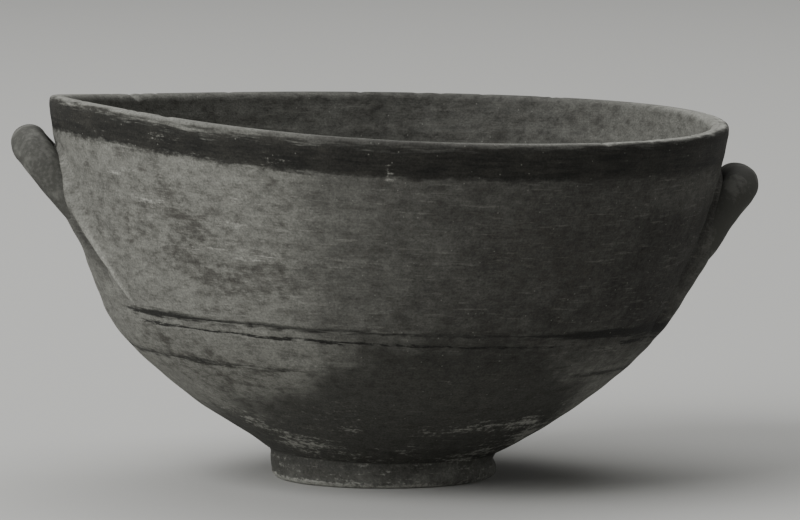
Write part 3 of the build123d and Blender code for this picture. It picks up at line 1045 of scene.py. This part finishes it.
# %% Wear the paint and wash the inside
flaking = 0.0
for pattern, share in ((streak, 0.6), (fleck, 0.55), (rubbed, 0.28)):
    total = add(tree, "Math", {0: pattern, 1: share, 2: flaking}, operation="MULTIPLY_ADD")
    flaking = total.outputs[0]
kept = add(
    tree, "MapRange", {0: flaking, 1: 0.70, 2: 0.86, 3: 1.0, 4: 0.1},
    interpolation_type="SMOOTHSTEP",
).outputs[0]
paint = add(tree, "Math", {0: paint, 1: kept}, operation="MULTIPLY").outputs[0]

within = add(tree, "Math", {0: within, 1: fringe}, operation="ADD").outputs[0]
wash = add(
    tree, "MapRange", {0: within, 1: -0.8, 2: 1.2}, interpolation_type="SMOOTHSTEP",
).outputs[0]
uneven = 0.0
for pattern, share in ((fleck, 0.5), (mottle, 0.8), (cloud, 0.7)):
    total = add(tree, "Math", {0: pattern, 1: share, 2: uneven}, operation="MULTIPLY_ADD")
    uneven = total.outputs[0]
# The wash's strength by angle is thinned as painted light on the back left and right
uneven = add(tree, "Math", {0: uneven, 1: wash_note}, operation="MULTIPLY").outputs[0]
wash = add(tree, "Math", {0: wash, 1: uneven}, operation="MULTIPLY", use_clamp=True).outputs[0]
paint = add(tree, "Math", {0: paint, 1: wash}, operation="MAXIMUM").outputs[0]
print("nodes so far:", len(tree.nodes))

# %% [markdown]
# The clay's colour goes from pale to smoked and painted shade, in patches that show less
# where these are thick. Dirt sits in flecks, mostly in the stained places.

# %% Colour the clay
PALE_CLAY, SMOKED_AND_SHADED_CLAY, DIRT = "#7A7A74", "#2F2E2C", "#413F3B"

clear_of_smoke_and_shade = add(tree, "MapRange", {0: smoke_and_shade, 3: 1.0, 4: 0.35}).outputs[0]
patchy = -1.3
for pattern, share in ((cloud, 1.0), (mottle, 0.9), (streak, 0.7)):
    total = add(tree, "Math", {0: pattern, 1: share, 2: patchy}, operation="MULTIPLY_ADD")
    patchy = total.outputs[0]
shade = add(
    tree, "Math", {0: patchy, 1: clear_of_smoke_and_shade, 2: smoke_and_shade}, operation="MULTIPLY_ADD", use_clamp=True,
).outputs[0]
clay = add(tree, "Mix", {
    "Factor": shade, "A": linear(PALE_CLAY), "B": linear(SMOKED_AND_SHADED_CLAY),
}, data_type="RGBA").outputs["Result"]

soil = 0.0
for pattern, share in ((fleck, 0.3), (mottle, 0.5), (streak, 0.3), (stained, 0.1)):
    total = add(tree, "Math", {0: pattern, 1: share, 2: soil}, operation="MULTIPLY_ADD")
    soil = total.outputs[0]
dirt = add(
    tree, "MapRange", {0: soil, 1: 0.53, 2: 0.75, 4: 0.85}, interpolation_type="SMOOTHSTEP",
).outputs[0]
clay = add(tree, "Mix", {
    "Factor": dirt, "A": clay, "B": linear(DIRT),
}, data_type="RGBA").outputs["Result"]
print("nodes so far:", len(tree.nodes))

# %% [markdown]
# Pale wheel streaks cross the clay. The lip's crest is paler still, because it is worn,
# and so are the rubbed places, which are clean, and the left handle's ridge, partly as a
# painted highlight. Slip darkens all this unevenly, as the brush left it, and it pools
# darkest in the two upper lines.

# %% Pale the worn places and lay the slip
WORN_CLAY, POOLED_SLIP, THIN_SLIP = "#9C9C95", "#161614", "#302F2B"

wheel = add(
    tree, "MapRange", {0: streak, 1: 0.53, 2: 0.72, 4: 0.42}, interpolation_type="SMOOTHSTEP",
).outputs[0]
wheel = add(tree, "Math", {0: wheel, 1: clear_of_smoke_and_shade}, operation="MULTIPLY").outputs[0]
worn = add(tree, "MapRange", {0: mottle, 1: 0.38, 2: 0.6, 3: 0.5}).outputs[0]
pale = add(tree, "Math", {0: worn, 1: pale_note, 2: wheel}, operation="MULTIPLY_ADD").outputs[0]
clean = add(
    tree, "MapRange", {0: flaking, 1: 0.68, 2: 0.86}, interpolation_type="SMOOTHSTEP",
).outputs[0]
pale = add(
    tree, "Math", {0: clean, 1: rubbed, 2: pale}, operation="MULTIPLY_ADD", use_clamp=True,
).outputs[0]
clay = add(tree, "Mix", {
    "Factor": pale, "A": clay, "B": linear(WORN_CLAY),
}, data_type="RGBA").outputs["Result"]

brushed = add(tree, "Math", {0: streak, 1: cloud}, operation="ADD").outputs[0]
brushed = add(tree, "MapRange", {0: brushed, 1: 0.8, 2: 1.25}).outputs[0]
brushed = add(tree, "Math", {0: brushed, 1: strokes[0]}, operation="SUBTRACT").outputs[0]
brushed = add(
    tree, "Math", {0: brushed, 1: strokes[1]}, operation="SUBTRACT", use_clamp=True,
).outputs[0]
slip = add(tree, "Mix", {
    "Factor": brushed, "A": linear(POOLED_SLIP), "B": linear(THIN_SLIP),
}, data_type="RGBA").outputs["Result"]
colour = add(tree, "Mix", {
    "Factor": paint, "A": clay, "B": slip,
}, data_type="RGBA").outputs["Result"]
print("nodes so far:", len(tree.nodes))

# %% [markdown]
# Grains of grit show as fine light and dark over everything, with a few pale specks. The
# bump repeats the streaks and the grit, about a tenth of a millimetre deep, and sinks
# the two upper lines, because the brush pressed them into soft clay. Slip is a little
# smoother than bare clay.

# %% Add the grit and the relief
GRIT, GRIT_SPACING = "#8F8F88", 1.7
RELIEF_DEPTH = 0.00015

grainy = add(tree, "Math", {0: fleck, 1: 0.7, 2: grit}, operation="MULTIPLY_ADD").outputs[0]
grainy = add(tree, "MapRange", {0: grainy, 1: 0.5, 2: 1.2, 3: 0.54, 4: 1.46}).outputs[0]
colour = add(tree, "Mix", {
    "Factor": 1.0, "A": colour, "B": grainy,
}, data_type="RGBA", blend_type="MULTIPLY").outputs["Result"]
cells = add(tree, "TexVoronoi", {"Vector": place, "Scale": 1 / GRIT_SPACING}, feature="F1").outputs
grain = add(tree, "MapRange", {0: cells["Distance"], 1: 0.06, 2: 0.14, 3: 0.45, 4: 0.0}).outputs[0]
chance = add(tree, "SeparateColor", {0: cells["Color"]}).outputs["Red"]
chance = add(tree, "Math", {0: chance, 1: 0.7}, operation="GREATER_THAN").outputs[0]
grain = add(tree, "Math", {0: grain, 1: chance}, operation="MULTIPLY").outputs[0]
colour = add(tree, "Mix", {
    "Factor": grain, "A": colour, "B": linear(GRIT),
}, data_type="RGBA").outputs["Result"]

rough = add(tree, "MapRange", {0: paint, 3: 0.9, 4: 0.7}).outputs[0]
relief = grit
for pattern, share in ((streak, 1.2), (fleck, 0.6), (strokes[0], -1.5), (strokes[1], -1.5)):
    total = add(tree, "Math", {0: pattern, 1: share, 2: relief}, operation="MULTIPLY_ADD")
    relief = total.outputs[0]
bump = add(tree, "Bump", {"Strength": 0.7, "Distance": RELIEF_DEPTH, "Height": relief}).outputs[0]
tree.links.new(colour, surface.inputs["Base Color"])
tree.links.new(rough, surface.inputs["Roughness"])
tree.links.new(bump, surface.inputs["Normal"])
surface.inputs["IOR"].default_value = 1.5
surface.inputs["Specular IOR Level"].default_value = 0.2
print("painted clay nodes:", len(tree.nodes))

# %% [markdown]
# ## Washed handles
# The handles have no bands, only a thin wash that wore off where fingers held them: a
# mottled grey, darker where the kiln smoked it and where painted shade lies on the right,
# and paler in small patches.

# %% Colour the handles
WASH_DARK, WASH_WORN = "#454541", "#6A6A65"
PATCH_SIZE, GRAIN_SIZE, GRAIN_DEPTH = 5, 0.9, 0.00012

washed = bpy.data.materials.new("thin_washed_earthenware")
washed.use_nodes = True
tree = washed.node_tree
surface = tree.nodes["Principled BSDF"]
place = add(tree, "Attribute", {}, attribute_name="clay_mm").outputs["Vector"]
patch = add(tree, "TexNoise", {
    "Vector": place, "Scale": 1 / PATCH_SIZE, "Detail": 4.0, "Roughness": 0.65,
}).outputs[0]
grit = add(tree, "TexNoise", {"Vector": place, "Scale": 1 / GRAIN_SIZE, "Detail": 2.0}).outputs[0]
tone = add(tree, "Attribute", {}, attribute_name="tone").outputs["Vector"]
smoke_and_shade = add(tree, "SeparateXYZ", {0: tone}).outputs["X"]
worn = add(
    tree, "MapRange", {0: patch, 1: 0.4, 2: 0.7}, interpolation_type="SMOOTHSTEP",
).outputs[0]
fine = add(tree, "MapRange", {0: grit, 1: 0.4, 2: 0.75, 4: 0.6}).outputs[0]
worn = add(tree, "Math", {0: worn, 1: fine}, operation="MAXIMUM").outputs[0]
# Smoke and painted shade darken the wash, most on the right handle
worn = add(
    tree, "Math", {0: smoke_and_shade, 1: -0.45, 2: worn}, operation="MULTIPLY_ADD", use_clamp=True,
).outputs[0]
colour = add(tree, "Mix", {
    "Factor": worn, "A": linear(WASH_DARK), "B": linear(WASH_WORN),
}, data_type="RGBA").outputs["Result"]
bump = add(tree, "Bump", {"Strength": 0.5, "Distance": GRAIN_DEPTH, "Height": grit}).outputs[0]
tree.links.new(colour, surface.inputs["Base Color"])
tree.links.new(bump, surface.inputs["Normal"])
surface.inputs["Roughness"].default_value = 0.82
surface.inputs["Specular IOR Level"].default_value = 0.2
print("handle wash nodes:", len(tree.nodes))

# %% [markdown]
# ## Putting the pieces on the frame
# Each new piece takes the place of one solid, rides on the cup's only body, and takes its
# finish. The solids stay in the file for collision, but hidden.

# %% Dress the frame
outfit = [
    (thrown_bowl, "bowl", painted, "painted_clay"),
    (foot, "ring_foot", painted, "foot_clay"),
    (bed, "foot_luting", painted, "luting_clay"),
    (HANDLES["left"]["handle"], "left_handle", washed, "handle_clay"),
    (HANDLES["right"]["handle"], "right_handle", washed, "handle_clay"),
] + [(smear, node, painted, "luting_clay") for node, smear in smears.items()]
for piece, node, finish, slot in outfit:
    piece.data.materials.clear()
    piece.data.materials.append(finish)
    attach(piece, "root")
    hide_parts(node)
print("dressed pieces:", len(outfit))

# %% [markdown]
# ## Floor and light
# A plain pale floor of matt paper runs far back, so that it fills the view behind the cup
# too. The main light is a soft panel, high on the left and in front, as a window would
# be. It leaves the right side dark and lights the right inside wall. A weak reflector on
# the right keeps the shadows open, and a wide ceiling panel evens out the floor behind.

# %% Lay the floor and light the cup
FLOOR_HALF_WIDTH = 8
# Name, place and aim in metres, size in metres and power in watts
LIGHTS = (
    ("window", (-1.4, -0.8, 1.23), (0, 0, 0.05), 1.6, 49),
    ("reflector", (1.5, -1.4, 0.4), (0, 0, 0.05), 1.2, 5),
    ("ceiling", (0, 1.2, 2.2), (0, 1.2, 0), 2.8, 60),
)

floor_mesh = bmesh.new()
bmesh.ops.create_grid(floor_mesh, x_segments=1, y_segments=1, size=FLOOR_HALF_WIDTH)
floor = piece_from(floor_mesh, "floor")
paper = bpy.data.materials.new("pale_paper")
paper.use_nodes = True
surface = paper.node_tree.nodes["Principled BSDF"]
surface.inputs["Base Color"].default_value = linear("#B4B4B1")
surface.inputs["Roughness"].default_value = 0.95
floor.data.materials.append(paper)

for name, place, aim, size, watts in LIGHTS:
    light = bpy.data.objects.new(name, bpy.data.lights.new(name, "AREA"))
    light.data.size = size
    light.data.energy = watts
    light.location = place
    light.rotation_euler = (Vector(aim) - Vector(place)).to_track_quat("-Z", "Y").to_euler()
    bpy.context.collection.objects.link(light)
sky = bpy.data.worlds.new("grey_sky")
sky.use_nodes = True
sky.node_tree.nodes["Background"].inputs["Color"].default_value = linear("#D8D8D6")
sky.node_tree.nodes["Background"].inputs["Strength"].default_value = 0.15
bpy.context.scene.world = sky
